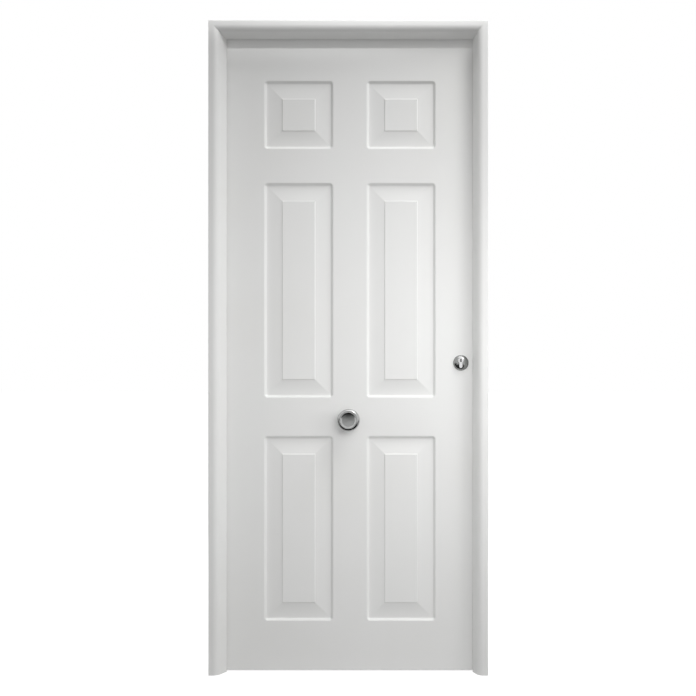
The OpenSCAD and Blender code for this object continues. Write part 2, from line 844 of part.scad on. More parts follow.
module bolt_carriage() {
    color(STEEL) difference() {
        box([carriage_x, carriage_x + carriage_t], [mid_y - carriage_y / 2, mid_y + carriage_y / 2],
            [bolt_zs[0] - bolt_r - carriage_end, bolt_zs[3] + bolt_r + carriage_end]);
        rod_x(carriage_x - CUT, carriage_x + carriage_t + CUT, mid_y, cyl_screw_z, cyl_screw_r + 2 * sliding);
    }
}

module deadbolts() {
    nose = bolt_r / 5;
    color(CHROME) for (z = bolt_zs)
        translate([carriage_x + carriage_t, mid_y, z]) rotate([0, 90, 0]) rotate_extrude() polygon([
            [0, 0], [bolt_r, 0], [bolt_r, bolt_x1 - carriage_x - carriage_t - nose],
            [bolt_r - nose, bolt_x1 - carriage_x - carriage_t], [0, bolt_x1 - carriage_x - carriage_t]
        ]);
}

module latch_bolt() {
    bevel = latch_t - latch_flat;
    color(CHROME) difference() {
        box([latch_x0, bolt_x1], [mid_y - latch_t / 2, mid_y + latch_t / 2],
            [turn_z - latch_h / 2, turn_z + latch_h / 2]);
        translate([0, 0, turn_z - latch_h / 2 - CUT]) linear_extrude(latch_h + 2 * CUT) polygon([
            [bolt_x1 + CUT, mid_y - latch_t / 2 - CUT],
            [bolt_x1 + CUT, mid_y - latch_t / 2 + bevel],
            [bolt_x1, mid_y - latch_t / 2 + bevel],
            [bolt_x1 - bevel, mid_y - latch_t / 2],
            [bolt_x1 - bevel, mid_y - latch_t / 2 - CUT]
        ]);
    }
}

module follower() {
    y = [mid_y - case_t / 2 + case_wall + sliding, mid_y + case_t / 2 - case_wall - sliding];
    color(STEEL) difference() {
        union() {
            rod_y(lock_x, turn_z, y[0], y[1], follower_r);
            rod_y(lock_x, turn_z, mid_y - case_t / 2, mid_y + case_t / 2, hub_r);
        }
        spindle_hole(mid_y - case_t / 2 - CUT, mid_y + case_t / 2 + CUT);
    }
}

// Square spindle and its hole
module spindle_square(side) {
    translate([lock_x, turn_z]) square(side, center = true);
}

module spindle_hole(y0, y1) {
    along_y(y0, y1) spindle_square(spindle_w + 2 * running);
}

module spindle() {
    color(STEEL) along_y(spindle_y0, spindle_y1) spindle_square(spindle_w);
}

// Key cylinder: euro profile round the key plug's axis
module euro_place() {
    translate([lock_x, key_z]) children();
}

module euro_profile(grow = 0) {
    foot = cyl_stem - cyl_stem_w / 2;
    circle(r = cyl_r + grow);
    translate([-cyl_stem_w / 2 - grow, -foot]) square([cyl_stem_w + 2 * grow, foot]);
    translate([0, -foot]) circle(r = cyl_stem_w / 2 + grow);
}

module cylinder_body() {
    gap = cam_w / 2 + sliding;
    color(CHROME) difference() {
        along_y(cyl_y0, cyl_y1) euro_place() euro_profile();
        rod_y(lock_x, key_z, cyl_y0 - CUT, cyl_y1 + CUT, plug_r + running);
        rod_y(lock_x, key_z, mid_y - gap, mid_y + gap, cam_reach + sliding);
        cylinder_fastener(screw_fit);
    }
}

module cylinder_screw() {
    color(STEEL) cylinder_fastener();
}

module key_plug() {
    color(CHROME) difference() {
        rod_y(lock_x, key_z, cyl_y0, cyl_y1, plug_r);
        translate([lock_x - keyway[0] / 2, cyl_y0 - CUT, key_z - keyway[1] / 2 - keyway_drop])
            cube([keyway[0], keyway[2] + CUT, keyway[1]]);
    }
}

module cam() {
    color(STEEL) difference() {
        union() {
            rod_y(lock_x, key_z, mid_y - cam_w / 2, mid_y + cam_w / 2, cyl_r);
            intersection() {
                rod_y(lock_x, key_z, mid_y - cam_w / 2, mid_y + cam_w / 2, cam_reach);
                box([lock_x - cam_reach - CUT, lock_x], [mid_y - cam_w / 2, mid_y + cam_w / 2],
                    [key_z - cam_w / 2, key_z + cam_w / 2]);
            }
        }
        rod_y(lock_x, key_z, mid_y - cam_w, mid_y + cam_w, plug_r + running);
    }
}

module thumb_turn() {
    y0 = cyl_y1 + sliding;
    color(CHROME) union() {
        rod_y(lock_x, key_z, cyl_y1, y0 + thumb_boss_h, plug_r);
        rod_y(lock_x, key_z, y0, y0 + thumb_boss_h, thumb_boss_r);
        translate([lock_x - thumb_t / 2, y0, key_z]) rotate([90, 0, 90]) linear_extrude(thumb_t) {
            translate([thumb_h - thumb_t, 0]) square([2 * thumb_t, thumb_w - 2 * thumb_t], center = true);
            for (s = [-1, 1])
                translate([thumb_h - thumb_t, s * (thumb_w / 2 - thumb_t)]) circle(r = thumb_t);
            translate([0, -thumb_boss_r]) square([thumb_h - thumb_t, 2 * thumb_boss_r]);
        }
    }
}

// Escutcheon outside, rose inside, and the two bolts that clamp them on the leaf
module escutcheon_shanks(grow = 0) {
    for (s = [-1, 1])
        rod_y(lock_x + s * escutcheon_bolt_x, rose_z, leaf_y - esc_bolt_grip - grow,
            leaf_back + rose_h + CUT, esc_bolt_r + grow);
}

module escutcheon_bolts() {
    y1 = leaf_back + rose_h;
    color(STEEL) for (s = [-1, 1]) {
        x = lock_x + s * escutcheon_bolt_x;
        rod_y(x, rose_z, leaf_y - esc_bolt_grip, y1 - esc_bolt_head_h, esc_bolt_r);
        rod_y(x, rose_z, y1 - esc_bolt_head_h, y1, esc_bolt_head_r);
    }
}

module outer_escutcheon() {
    color(CHROME) difference() {
        union() {
            turned_out(lock_x, rose_z, leaf_y) square([escutcheon_r, dome_base]);
            intersection() {
                translate([lock_x, leaf_y - dome_base + dome_sphere - dome_h, rose_z]) sphere(r = dome_sphere);
                rod_y(lock_x, rose_z, leaf_y - escutcheon_h + dome_flat, leaf_y, dome_r);
            }
        }
        along_y(leaf_y - escutcheon_h - CUT, leaf_y + CUT) euro_place() euro_profile(sliding);
        escutcheon_shanks(screw_fit);
    }
}

module inner_rose() {
    chamfer = 2;
    y1 = leaf_back + rose_h;
    color(CHROME) difference() {
        turned_in(lock_x, rose_z, leaf_back)
            polygon([[0, 0], [rose_r, 0], [rose_r, rose_h - chamfer], [rose_r - chamfer, rose_h], [0, rose_h]]);
        along_y(leaf_back - CUT, y1 + CUT) euro_place() euro_profile(sliding);
        escutcheon_shanks(screw_fit);
        for (s = [-1, 1])
            rod_y(lock_x + s * escutcheon_bolt_x, rose_z, y1 - esc_bolt_head_h, y1 + CUT,
                esc_bolt_head_r + screw_fit);
    }
}

// Half section of a knob's head with a rounded edge, on its axis
module head_section(r, t, edge) {
    square([r - edge, t]);
    translate([0, edge]) square([r, t - 2 * edge]);
    for (z = [edge, t - edge])
        translate([r - edge, z]) intersection() {
            circle(r = edge);
            translate([edge - r, -edge]) square([r, 2 * edge]);
        }
}

// Pull knob, fixed outside by a stud through the leaf
module pull_knob() {
    y0 = leaf_y - pull_rose_h;
    flare = 3;
    color(CHROME) difference() {
        union() {
            turned_out(0, pull_z, y0) polygon([
                [0, 0], [pull_neck_r + flare, 0], [pull_neck_r, flare],
                [pull_neck_r, pull_neck_l + flare], [0, pull_neck_l + flare]
            ]);
            turned_out(0, pull_z, y0 - pull_neck_l) head_section(pull_r, pull_head_t, pull_edge_r);
        }
        translate([0, pull_face_y + pull_dish_d - pull_sphere, pull_z]) sphere(r = pull_sphere);
        turned_out(0, pull_z, pull_face_y)
            translate([pull_dish_r + 2 * pull_groove_r, 0]) circle(r = pull_groove_r);
        rod_y(0, pull_z, stud_y0, leaf_y, stud_r + running);
    }
}

module pull_rose() {
    step = 2;
    color(CHROME) difference() {
        turned_out(0, pull_z, leaf_y) polygon([
            [0, 0], [pull_rose_r, 0], [pull_rose_r, step], [pull_rose_r - step, 2 * step],
            [pull_neck_r + 2 * step, pull_rose_h], [0, pull_rose_h]
        ]);
        rod_y(0, pull_z, leaf_y - pull_rose_h - CUT, leaf_y + CUT, stud_r + screw_fit);
    }
}

module pull_stud() {
    color(STEEL) rod_y(0, pull_z, stud_y0, stud_y1, stud_r);
}

module pull_cap() {
    edge = 3;
    color(CHROME) difference() {
        turned_in(0, pull_z, leaf_back) union() {
            square([cap_r - edge, cap_h]);
            square([cap_r, cap_h - edge]);
            translate([cap_r - edge, cap_h - edge]) circle(r = edge);
        }
        rod_y(0, pull_z, leaf_back - CUT, stud_y1, stud_r + running);
    }
}

// Inside knob that draws the latch
module turn_rose() {
    chamfer = 2;
    color(CHROME) difference() {
        turned_in(lock_x, turn_z, leaf_back)
            polygon([[0, 0], [rose_r, 0], [rose_r, rose_h - chamfer], [rose_r - chamfer, rose_h], [0, rose_h]]);
        rod_y(lock_x, turn_z, leaf_back - CUT, leaf_back + rose_h + CUT, turn_neck_r + running);
    }
}

module turn_knob() {
    y1 = turn_y0 + turn_head_t;
    color(CHROME) difference() {
        union() {
            rod_y(lock_x, turn_z, leaf_back + sliding, turn_y0 + turn_head_t / 2, turn_neck_r);
            turned_in(lock_x, turn_z, turn_y0) head_section(turn_r, turn_head_t, turn_edge_r);
        }
        translate([lock_x, y1 - turn_dish_d + turn_sphere, turn_z]) sphere(r = turn_sphere);
        spindle_hole(leaf_back - CUT, spindle_y1);
    }
}

module placed() {
    translate([0, -depth_mid, 0]) children();
}

placed() hinge_jamb();
placed() lock_jamb();
placed() header();
placed() frame_gasket();
placed() strike_plate();
placed() strike_screws();
placed() bolt_box();
for (i = [1:3]) {
    placed() hinge_frame_half(hinge_zs[i - 1]);
    placed() hinge_pin(hinge_zs[i - 1]);
    placed() hinge_leaf_half(hinge_zs[i - 1]);
}
placed() hinge_washers();
placed() hinge_backers();
placed() frame_hinge_screws();
placed() outer_skin();
placed() inner_skin();
placed() core();
placed() hinge_stile();
placed() lock_stile();
placed() top_rail();
placed() bottom_rail();
placed() leaf_hinge_screws();
placed() lock_case();
placed() lock_cover();
placed() lock_faceplate();
placed() faceplate_screws();
placed() cylinder_body();
placed() cylinder_screw();
placed() outer_escutcheon();
placed() inner_rose();
placed() escutcheon_bolts();
placed() pull_knob();
placed() pull_rose();
placed() pull_stud();
placed() pull_cap();
placed() turn_rose();
placed() bolt_carriage();
placed() deadbolts();
placed() latch_bolt();
placed() turn_knob();
placed() spindle();
placed() follower();
placed() key_plug();
placed() cam();
placed() thumb_turn();
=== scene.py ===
import math

import bmesh
import bpy
from mathutils import Matrix, Vector
from mathutils.geometry import delaunay_2d_cdt


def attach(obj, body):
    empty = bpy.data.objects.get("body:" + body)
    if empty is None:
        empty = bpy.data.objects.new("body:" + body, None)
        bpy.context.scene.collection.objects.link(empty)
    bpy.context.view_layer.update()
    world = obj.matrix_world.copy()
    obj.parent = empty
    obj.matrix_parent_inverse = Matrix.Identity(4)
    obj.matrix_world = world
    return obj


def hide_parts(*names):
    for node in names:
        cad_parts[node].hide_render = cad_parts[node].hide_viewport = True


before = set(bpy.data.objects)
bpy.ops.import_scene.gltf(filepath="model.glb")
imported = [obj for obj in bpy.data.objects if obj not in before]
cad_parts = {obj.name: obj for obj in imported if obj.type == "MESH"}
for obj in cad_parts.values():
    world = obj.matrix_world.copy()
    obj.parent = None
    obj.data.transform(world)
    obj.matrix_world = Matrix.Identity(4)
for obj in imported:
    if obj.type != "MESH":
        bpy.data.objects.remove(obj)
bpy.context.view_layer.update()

# All sizes are in millimetres, and in metres in the materials and the studio. X runs to the lock side and
# Z up. Y counts from the frame's front face towards the house, and DEPTH_MID takes it to the shared origin.
MM = 0.001
DEPTH_MID = 76.5

# Frame: half its width, its height, and the places in its folded section
FRAME_X = 445.0
FRAME_H = 2085.0
LIP = 18.0
FLAT = 14.0
NOSE = 21.5
FACE = 49.0
REVEAL = 55.0
STOP = 57.0
REBATE = 28.5
FRAME_D = 107.0
FRAME_SHEET = 1.5
SEAM = 0.4
FIXING_R = 4.5
FIXING_ZS = (420.0, 1660.0)

# Leaf: half its width, its ends and its faces
LEAF_X = 412.5
LEAF_Z0 = 5.0
LEAF_Z1 = 2052.5
LEAF_Y0 = 60.0
LEAF_Y1 = 105.0
MID_Y = 82.5
SKIN = 1.0
INNER_FLANGE = 8.0
SKIN_LAP = 0.05

# Panels: their place on the lock side, and their section from the edge to the field
PANEL_X = (53.0, 277.0)
PANEL_ROWS = ((163.0, 760.0), (882.0, 1575.5), (1683.5, 1904.5))
PANEL_CORNER_R = 12.0
FIELD_CORNER_R = 1.2
SHOULDER = 10.0
GROOVE = 4.0
GROOVE_D = 7.0
COVE = 44.5
COVE_RISE = 4.8
COVE_POWER = 1.6
FIELD_STEP = 1.5

# Hinges
HINGE_ZS = (250.0, 1025.0, 1800.0)
HINGE_FACE = 111.0
KNUCKLE = 49.0
SCREW_HOLE_R = 2.65
FRAME_SCREW_X = -433.25
LEAF_SCREW_X = -388.46
SCREW_SHARES = (0.25, 0.75)
FRAME_SCREW_ZS = [z - 1.0 - KNUCKLE + KNUCKLE * share for z in HINGE_ZS for share in SCREW_SHARES]
LEAF_SCREW_ZS = [z + 1.15 + KNUCKLE * share for z in HINGE_ZS for share in SCREW_SHARES]

# Lock and knobs
LOCK_X = 358.0
KEY_Z = 1003.0
ROSE_Z = 995.0
ROSE_BOLT_X = 19.0
TURN_Z = 1088.0
TURN_HOLE_R = 11.3
PULL_Z = 812.0
STUD_HOLE_R = 5.15
CYL_SCREW_Z = 983.1
STRIKE_X = 415.0
FACE_SCREW_ZS = (914.0, 1136.0)
FACEPLATE_Y = (70.2, 94.8)
FACEPLATE_Z = (904.7, 1145.3)
WINDOW_HALF = 9.5
BOLT_WINDOW = (933.6, 1032.6)
LATCH_WINDOW = (TURN_Z - 13.5, TURN_Z + 13.5)


def at(x, y, z):
    return Vector((x, y - DEPTH_MID, z)) * MM


# Materials

def bare_material(name):
    material = bpy.data.materials.new(name)
    material.use_nodes = True
    tree = material.node_tree
    tree.nodes.clear()
    return material, tree, tree.nodes.new("ShaderNodeOutputMaterial")


def new_material(name):
    material, tree, out = bare_material(name)
    shader = tree.nodes.new("ShaderNodeBsdfPrincipled")
    tree.links.new(shader.outputs["BSDF"], out.inputs["Surface"])
    return material, tree, shader


def place_of(tree, stretch=(1.0, 1.0, 1.0)):
    coords = tree.nodes.new("ShaderNodeTexCoord")
    mapping = tree.nodes.new("ShaderNodeMapping")
    mapping.inputs["Scale"].default_value = stretch
    tree.links.new(coords.outputs["Object"], mapping.inputs["Vector"])
    return mapping.outputs["Vector"]


def noise(tree, where, scale, detail=2.0, rough=0.5):
    node = tree.nodes.new("ShaderNodeTexNoise")
    node.inputs["Scale"].default_value = scale
    node.inputs["Detail"].default_value = detail
    node.inputs["Roughness"].default_value = rough
    tree.links.new(where, node.inputs["Vector"])
    return node.outputs["Fac"]


def rings(tree, where, scale, distortion=0.0):
    node = tree.nodes.new("ShaderNodeTexWave")
    node.wave_type = "RINGS"
    node.rings_direction = "Y"
    node.inputs["Scale"].default_value = scale
    node.inputs["Distortion"].default_value = distortion
    tree.links.new(where, node.inputs["Vector"])
    return node.outputs["Fac"]


def colours(tree, fac, stops):
    node = tree.nodes.new("ShaderNodeValToRGB")
    ramp = node.color_ramp
    while len(ramp.elements) < len(stops):
        ramp.elements.new(0.5)
    for element, (place, colour) in zip(ramp.elements, stops):
        element.position = place
        element.color = (*colour, 1.0)
    tree.links.new(fac, node.inputs["Fac"])
    return node.outputs["Color"]


def spread(tree, fac, low, high, start=0.3, end=0.7):
    node = tree.nodes.new("ShaderNodeMapRange")
    node.inputs["From Min"].default_value = start
    node.inputs["From Max"].default_value = end
    node.inputs["To Min"].default_value = low
    node.inputs["To Max"].default_value = high
    tree.links.new(fac, node.inputs["Value"])
    return node.outputs["Result"]


def calc(tree, operation, *terms):
    """A sum on sockets and plain numbers."""
    node = tree.nodes.new("ShaderNodeMath")
    node.operation = operation
    for socket, term in zip(node.inputs, terms):
        if isinstance(term, float):
            socket.default_value = term
        else:
            tree.links.new(term, socket)
    return node.outputs[0]


def mixed(tree, fac, first, second):
    """The first colour where fac is 0 and the second where it is 1."""
    node = tree.nodes.new("ShaderNodeMix")
    node.data_type = "RGBA"
    tree.links.new(fac, node.inputs["Factor"])
    tree.links.new(first, node.inputs["A"])
    if isinstance(second, tuple):
        node.inputs["B"].default_value = (*second, 1.0)
    else:
        tree.links.new(second, node.inputs["B"])
    return node.outputs["Result"]


def relief(tree, shader, heights):
    """Bumps laid over each other: (height, strength, distance in metres) each."""
    normal = None
    for height, strength, distance in heights:
        node = tree.nodes.new("ShaderNodeBump")
        node.inputs["Strength"].default_value = strength
        node.inputs["Distance"].default_value = distance
        tree.links.new(height, node.inputs["Height"])
        if normal:
            tree.links.new(normal, node.inputs["Normal"])
        normal = node.outputs["Normal"]
    tree.links.new(normal, shader.inputs["Normal"])


def white_paint():
    material, tree, shader = new_material("white_paint")
    where = place_of(tree)
    tone = noise(tree, where, 2.4, 3.0)
    tint = colours(tree, tone, [
        (0.3, (0.835, 0.835, 0.82)), (0.5, (0.85, 0.85, 0.84)), (0.7, (0.855, 0.86, 0.848)),
    ])
    tree.links.new(tint, shader.inputs["Base Color"])
    gloss = noise(tree, where, 45.0, 2.0)
    tree.links.new(spread(tree, gloss, 0.38, 0.48), shader.inputs["Roughness"])
    shader.inputs["IOR"].default_value = 1.48
    relief(tree, shader, [
        (noise(tree, where, 520.0, 2.0), 0.12, 0.00025),
        (noise(tree, where, 9.0, 2.0), 0.06, 0.0012),
    ])
    return material


def turned_chrome(name="turned_chrome", low=0.28, high=0.37, disc=0.0):
    """Polished on the lathe: fine rings round the object's own Y axis, gloss that runs round with them.

    Within the radius disc the rings stay as the tool left them, and the metal is darker and duller there."""
    material, tree, shader = new_material(name)
    where = place_of(tree)
    shader.inputs["Metallic"].default_value = 1.0
    cloud = noise(tree, where, 160.0, 3.0)
    tint = colours(tree, cloud, [(0.3, (low, low + 0.005, low)), (0.7, (high, high + 0.005, high))])
    marks = rings(tree, where, 420.0, 0.6)
    gloss = spread(tree, marks, 0.13, 0.22, 0.0, 1.0)
    if disc:
        reach = tree.nodes.new("ShaderNodeVectorMath")
        reach.operation = "LENGTH"
        tree.links.new(place_of(tree, (1.0, 0.0, 1.0)), reach.inputs[0])
        inside = spread(tree, reach.outputs["Value"], 1.0, 0.0, disc - 0.0004, disc)
        gloss = calc(tree, "MULTIPLY_ADD", inside, 0.24, gloss)
        dull = colours(tree, marks, [(0.2, (0.26, 0.265, 0.26)), (0.8, (0.40, 0.405, 0.40))])
        tint = mixed(tree, inside, tint, dull)
    tree.links.new(tint, shader.inputs["Base Color"])
    tree.links.new(gloss, shader.inputs["Roughness"])
    shader.inputs["Anisotropic"].default_value = 0.7
    tangent = tree.nodes.new("ShaderNodeTangent")
    tangent.direction_type = "RADIAL"
    tangent.axis = "Y"
    tree.links.new(tangent.outputs["Tangent"], shader.inputs["Tangent"])
    relief(tree, shader, [(marks, 0.10, 0.00012)])
    return material


def polished_chrome(name="polished_chrome", low=0.70, high=0.80, haze_low=0.14, haze_high=0.26):
    material, tree, shader = new_material(name)
    where = place_of(tree)
    shader.inputs["Metallic"].default_value = 1.0
    cloud = noise(tree, where, 90.0, 3.0)
    tint = colours(tree, cloud, [(0.3, (low, low, low)), (0.7, (high, high, high * 1.01))])
    tree.links.new(tint, shader.inputs["Base Color"])
    haze = noise(tree, place_of(tree, (1.0, 1.0, 9.0)), 120.0, 3.0)
    tree.links.new(spread(tree, haze, haze_low, haze_high), shader.inputs["Roughness"])
    relief(tree, shader, [(noise(tree, where, 700.0, 2.0), 0.04, 0.0002)])
    return material


def plug_chrome(front, slot):
    """Polished like the cylinder, with painted shade: black in the keyway, fading in from 0.6 mm to 1.6 mm
    behind its front, and spread out of the keyway as a black strip 2.1 mm either side of its middle.

    front is the plug's front in Y and slot the keyway's middle in X, both in metres."""
    material = polished_chrome("plug_chrome")
    tree = material.node_tree
    shader = next(node for node in tree.nodes if node.type == "BSDF_PRINCIPLED")
    where = tree.nodes.new("ShaderNodeSeparateXYZ")
    tree.links.new(place_of(tree), where.inputs[0])
    # Painted shade: black in the keyway, fading in from 0.6 mm to 1.6 mm behind the plug's front.
    keyway_painted_shade = spread(tree, where.outputs["Y"], 0.0, 1.0, front + 0.0006, front + 0.0016)
    # Painted shade spread out of the keyway: a black strip 2.1 mm either side of its middle, across the
    # plug's front.
    edges = calc(tree, "MULTIPLY", calc(tree, "COMPARE", where.outputs["X"], slot, 0.0021), 0.95)
    metal = shader.inputs["Base Color"].links[0].from_socket
    tint = mixed(tree, calc(tree, "MAXIMUM", keyway_painted_shade, edges), metal, (0.02, 0.02, 0.022))
    tree.links.new(tint, shader.inputs["Base Color"])
    return material


def zinc_steel():
    material, tree, shader = new_material("zinc_steel")
    where = place_of(tree)
    shader.inputs["Metallic"].default_value = 1.0
    cloud = noise(tree, where, 130.0, 4.0, 0.6)
    tint = colours(tree, cloud, [
        (0.3, (0.47, 0.48, 0.49)), (0.55, (0.56, 0.565, 0.57)), (0.75, (0.62, 0.61, 0.58)),
    ])
    tree.links.new(tint, shader.inputs["Base Color"])
    tree.links.new(spread(tree, noise(tree, where, 260.0, 3.0), 0.28, 0.45), shader.inputs["Roughness"])
    relief(tree, shader, [(noise(tree, where, 900.0, 2.0), 0.12, 0.0002)])
    return material


def softwood(along):
    """Pine with its grain along one axis, 0 for X and 2 for Z."""
    material, tree, shader = new_material("softwood_" + "xyz"[along])
    stretch = [14.0, 14.0, 14.0]
    stretch[along] = 0.7
    where = place_of(tree, stretch)
    grain = noise(tree, where, 6.0, 6.0, 0.65)
    tint = colours(tree, grain, [
        (0.3, (0.50, 0.34, 0.17)), (0.5, (0.72, 0.55, 0.33)), (0.68, (0.80, 0.66, 0.44)),
    ])
    tree.links.new(tint, shader.inputs["Base Color"])
    tree.links.new(spread(tree, grain, 0.55, 0.75), shader.inputs["Roughness"])
    relief(tree, shader, [(grain, 0.25, 0.0006)])
    return material


def rigid_foam():
    material, tree, shader = new_material("rigid_foam")
    where = place_of(tree)
    node = tree.nodes.new("ShaderNodeTexVoronoi")
    node.inputs["Scale"].default_value = 600.0
    tree.links.new(where, node.inputs["Vector"])
    cells = node.outputs["Distance"]
    tint = colours(tree, cells, [(0.1, (0.70, 0.60, 0.38)), (0.6, (0.84, 0.77, 0.56))])
    tree.links.new(tint, shader.inputs["Base Color"])
    tree.links.new(spread(tree, cells, 0.8, 0.95, 0.0, 1.0), shader.inputs["Roughness"])
    relief(tree, shader, [(cells, 0.4, 0.0006)])
    return material


def black_rubber():
    material, tree, shader = new_material("black_rubber")
    where = place_of(tree)
    bloom = noise(tree, where, 60.0, 3.0)
    tint = colours(tree, bloom, [(0.3, (0.018, 0.018, 0.019)), (0.7, (0.035, 0.035, 0.036))])
    tree.links.new(tint, shader.inputs["Base Color"])
    tree.links.new(spread(tree, bloom, 0.55, 0.75), shader.inputs["Roughness"])
    relief(tree, shader, [(noise(tree, where, 800.0, 2.0), 0.15, 0.0002)])
    return material


PAINT = white_paint()
TURNED = turned_chrome()
SPUN = turned_chrome("spun_chrome", 0.42, 0.52, 0.021)
CHROME = polished_chrome()
SATIN = polished_chrome("satin_chrome", 0.40, 0.48, 0.24, 0.34)
STEEL = zinc_steel()
WOOD_X = softwood(0)
WOOD_Z = softwood(2)
FOAM = rigid_foam()
RUBBER = black_rubber()


# Mesh helpers

def rounded(points, radii, step=15.0):
    """A line of 2-D points with arcs of the given radii at the given places."""
    line = []
    for i, point in enumerate(points):
        p = Vector(point)
        r = radii.get(i, 0.0)
        if r <= 0.0:
            line.append(p)
            continue
        a = (Vector(points[i - 1]) - p).normalized()
        b = (Vector(points[i + 1]) - p).normalized()
        inner = a.angle(b)
        centre = p + (a + b).normalized() * (r / math.sin(inner / 2))
        start = p + a * (r / math.tan(inner / 2)) - centre
        end = p + b * (r / math.tan(inner / 2)) - centre
        turn = math.copysign(math.pi - inner, start.x * end.y - start.y * end.x)
        count = max(2, math.ceil(abs(math.degrees(turn)) / step))
        for k in range(count + 1):
            line.append(centre + Matrix.Rotation(turn * k / count, 2) @ start)
    return line


def beside(line, t):
    """The line moved by t to its left, mitred at its bends."""
    moved = []
    last = len(line) - 1
    for i, p in enumerate(line):
        before = (line[max(i, 1)] - line[max(i, 1) - 1]).normalized()
        after = (line[min(i, last - 1) + 1] - line[min(i, last - 1)]).normalized()
        n = Vector((-before.y - after.y, before.x + after.x))
        moved.append(p + n * (2.0 * t / n.length_squared))
    return moved


def circle(cx, cz, r, count=32):
    turns = [math.tau * k / count for k in range(count)]
    return [(cx + r * math.cos(a), cz + r * math.sin(a)) for a in turns]


def screw_hole(x, z):
    return circle(x, z, SCREW_HOLE_R, 20)


def rectangle(x0, x1, z0, z1):
    return [(x1, z1), (x0, z1), (x0, z0), (x1, z0)]


def euro_outline(grow):
    """Outline of the key cylinder round the plug's axis: a circle over a stem with a round foot."""
    r, half, foot = 8.5 + grow, 5.0 + grow, -19.5
    meet = math.asin(half / r)
    count = 28
    points = []
    for k in range(count + 1):
        a = -math.pi / 2 + meet + (math.tau - 2 * meet) * k / count
        points.append((LOCK_X + r * math.cos(a), KEY_Z + r * math.sin(a)))
    for k in range(count // 2 + 1):
        a = math.pi + math.pi * k / (count // 2)
        points.append((LOCK_X + half * math.cos(a), KEY_Z + foot + half * math.sin(a)))
    return points


def new_verts(bm, points):
    return [bm.verts.new(p) for p in points]


def bridge(bm, a, b, skip=()):
    for i in range(len(a)):
        if i not in skip:
            j = (i + 1) % len(a)
            bm.faces.new((a[i], a[j], b[j], b[i]))


def within(point, loop):
    """Whether a point lies inside a flat loop of points."""
    odd = False
    for a, b in zip(loop, loop[1:] + loop[:1]):
        if (a.y > point.y) != (b.y > point.y):
            crossing = a.x + (b.x - a.x) * (point.y - a.y) / (b.y - a.y)
            odd ^= point.x < crossing
    return odd


def fill(bm, outer, holes=()):
    """Flat face from a loop of vertices, with the loops in holes left open."""
    loops = [list(outer), *(list(hole) for hole in holes)]
    verts = [v for loop in loops for v in loop]
    arms = [v.co - verts[0].co for v in loops[0]]
    normal = sum((a.cross(b) for a, b in zip(arms, arms[1:])), Vector())
    side = normal.orthogonal().normalized()
    up = normal.normalized().cross(side)
    flat = [[Vector((v.co.dot(side), v.co.dot(up))) / MM for v in loop] for loop in loops]
    edges = []
    for loop in loops:
        first = len(edges)
        edges += [(first + k, first + (k + 1) % len(loop)) for k in range(len(loop))]
    inner_triangles = 1
    points, _, faces, origin, *_ = delaunay_2d_cdt(sum(flat, []), edges, [], inner_triangles, 1e-6)
    for face in faces:
        middle = sum((points[k] for k in face), Vector((0.0, 0.0))) / len(face)
        if within(middle, flat[0]) and not any(within(middle, loop) for loop in flat[1:]):
            bm.faces.new([verts[origin[k][0]] for k in face])


def finish_mesh(bm, name, sharp=38.0, smooth=True):
    bmesh.ops.recalc_face_normals(bm, faces=bm.faces)
    mesh = bpy.data.meshes.new(name)
    bm.to_mesh(mesh)
    bm.free()
    mesh.polygons.foreach_set("use_smooth", [smooth] * len(mesh.polygons))
    if smooth:
        mesh.set_sharp_from_angle(angle=math.radians(sharp))
    piece = bpy.data.objects.new(name, mesh)
    bpy.context.scene.collection.objects.link(piece)
    return piece


def seat(piece, body, slot, material, *nodes):
    piece.data.materials.clear()
    piece.data.materials.append(material)
    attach(piece, body)
    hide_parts(*nodes)
    return piece


# Frame members: one folded section, drawn out along the jambs and the head

NOSE_CENTRE = Vector((FLAT, NOSE))
TO_STOP = Vector((FACE, REVEAL)) - NOSE_CENTRE
NOSE_TURN = math.atan2(TO_STOP.y, TO_STOP.x) + math.asin(NOSE / TO_STOP.length)


def nose_point(angle):
    return NOSE_CENTRE + NOSE * Vector((math.sin(angle), -math.cos(angle)))


def frame_line():
    """Outer side of the section from the front lip to the rear one: (distance in from the edge, depth)."""
    arc = [nose_point(NOSE_TURN * k / 16) for k in range(17)]
    front = rounded([(0, LIP), (0, 0), (FLAT, 0)], {1: 2.2})
    back = rounded([
        arc[-1], (FACE, REVEAL), (FACE, STOP), (REBATE, STOP),
        (REBATE, FRAME_D), (0, FRAME_D), (0, FRAME_D - LIP),
    ], {1: 1.5, 2: 1.7, 3: 1.0, 4: 2.2, 5: 2.2})
    return front[:-1] + arc[:-1] + back


def head_reach(v):
    """How far the head comes down from the frame's top at the depth v."""
    nose_end = nose_point(NOSE_TURN)
    if v <= nose_end.y:
        return FLAT + math.sqrt(max(0.0, NOSE ** 2 - (NOSE - max(v, 0.0)) ** 2))
    if v < REVEAL:
        return nose_end.x + (FACE - nose_end.x) * (v - nose_end.y) / (REVEAL - nose_end.y)
    return FACE if v <= STOP else REBATE


